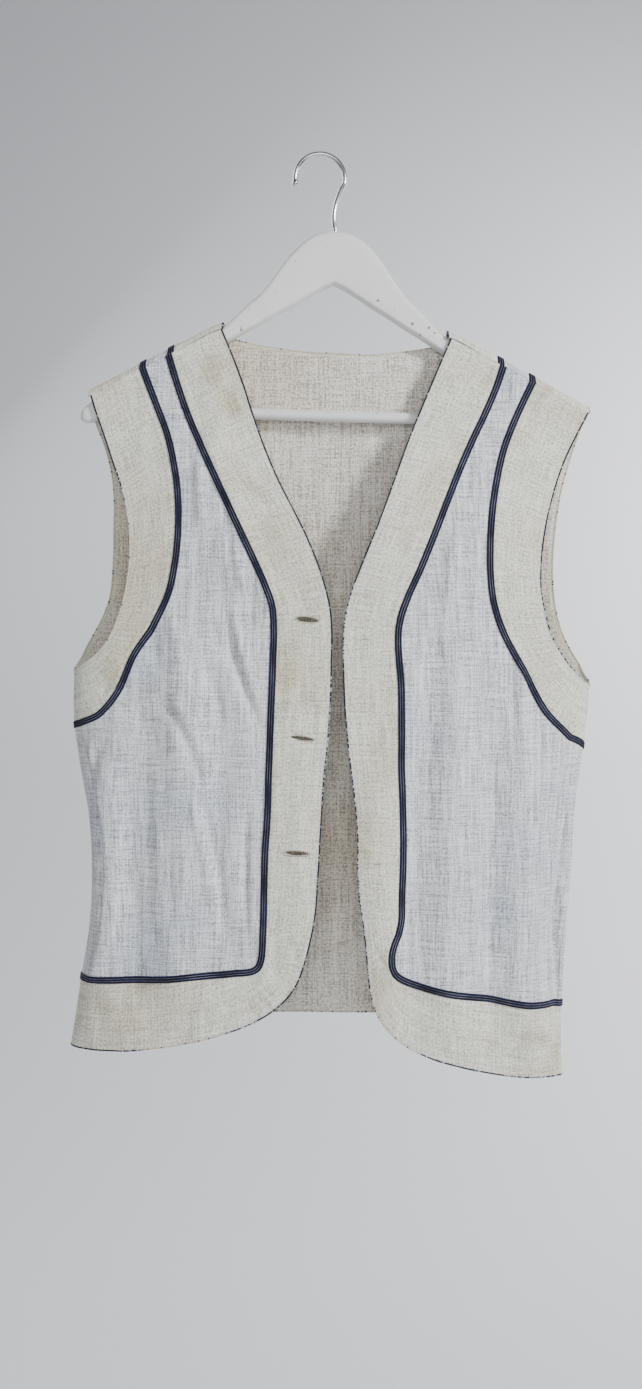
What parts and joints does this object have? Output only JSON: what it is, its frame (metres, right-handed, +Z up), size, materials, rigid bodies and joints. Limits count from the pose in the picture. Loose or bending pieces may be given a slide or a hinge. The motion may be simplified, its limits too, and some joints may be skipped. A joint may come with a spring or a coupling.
{
  "type": "vest on hanger",
  "caption": "Sleeveless open-fronted linen folk vest with braided seams, hanging from a flat wooden coat hanger by its wire hook.",
  "frame": {"origin": "highest point of the inside of the hook's round, where it hangs on a rod", "axes": "+Z up along the hanging hanger and vest, -Y out of the vest's front, +X to the right as the front is seen"},
  "size_m": [0.4677, 0.0759, 0.8299],
  "materials": {
    "linen_panel": "fine bluish white linen, plain weave",
    "linen_band": "cream linen with slubs, plain weave",
    "linen_lining": "coarse natural linen, plain weave",
    "navy_braid": "ribbed navy braid with pale edges",
    "edge_cord": "striped navy and grey edging",
    "white_paint": "white paint, worn at the edges",
    "chrome_wire": "bright plated steel wire"
  },
  "bodies": {
    "root": {"front_panel_left": "linen_panel", "front_panel_right": "linen_panel", "back_panel": "linen_panel", "front_band_left": "linen_band", "front_band_right": "linen_band", "front_armhole_band_left": "linen_band", "front_armhole_band_right": "linen_band", "back_armhole_band_left": "linen_band", "back_armhole_band_right": "linen_band", "back_neck_band": "linen_band", "back_hem_band": "linen_band", "back_lining": "linen_lining", "braid_front_left": "navy_braid", "braid_front_right": "navy_braid", "braid_armhole_left": "navy_braid", "braid_armhole_right": "navy_braid", "braid_back_armhole_left": "navy_braid", "braid_back_armhole_right": "navy_braid", "braid_back_neck": "navy_braid", "braid_back_hem": "navy_braid", "edging_front_left": "edge_cord", "edging_front_right": "edge_cord", "edging_armhole_left": "edge_cord", "edging_armhole_right": "edge_cord", "edging_back_neck": "edge_cord", "edging_back_hem": "edge_cord", "hanger_body": "white_paint", "hanger_bar": "white_paint", "hanger_hook": "chrome_wire"}
  },
  "joints": []
}
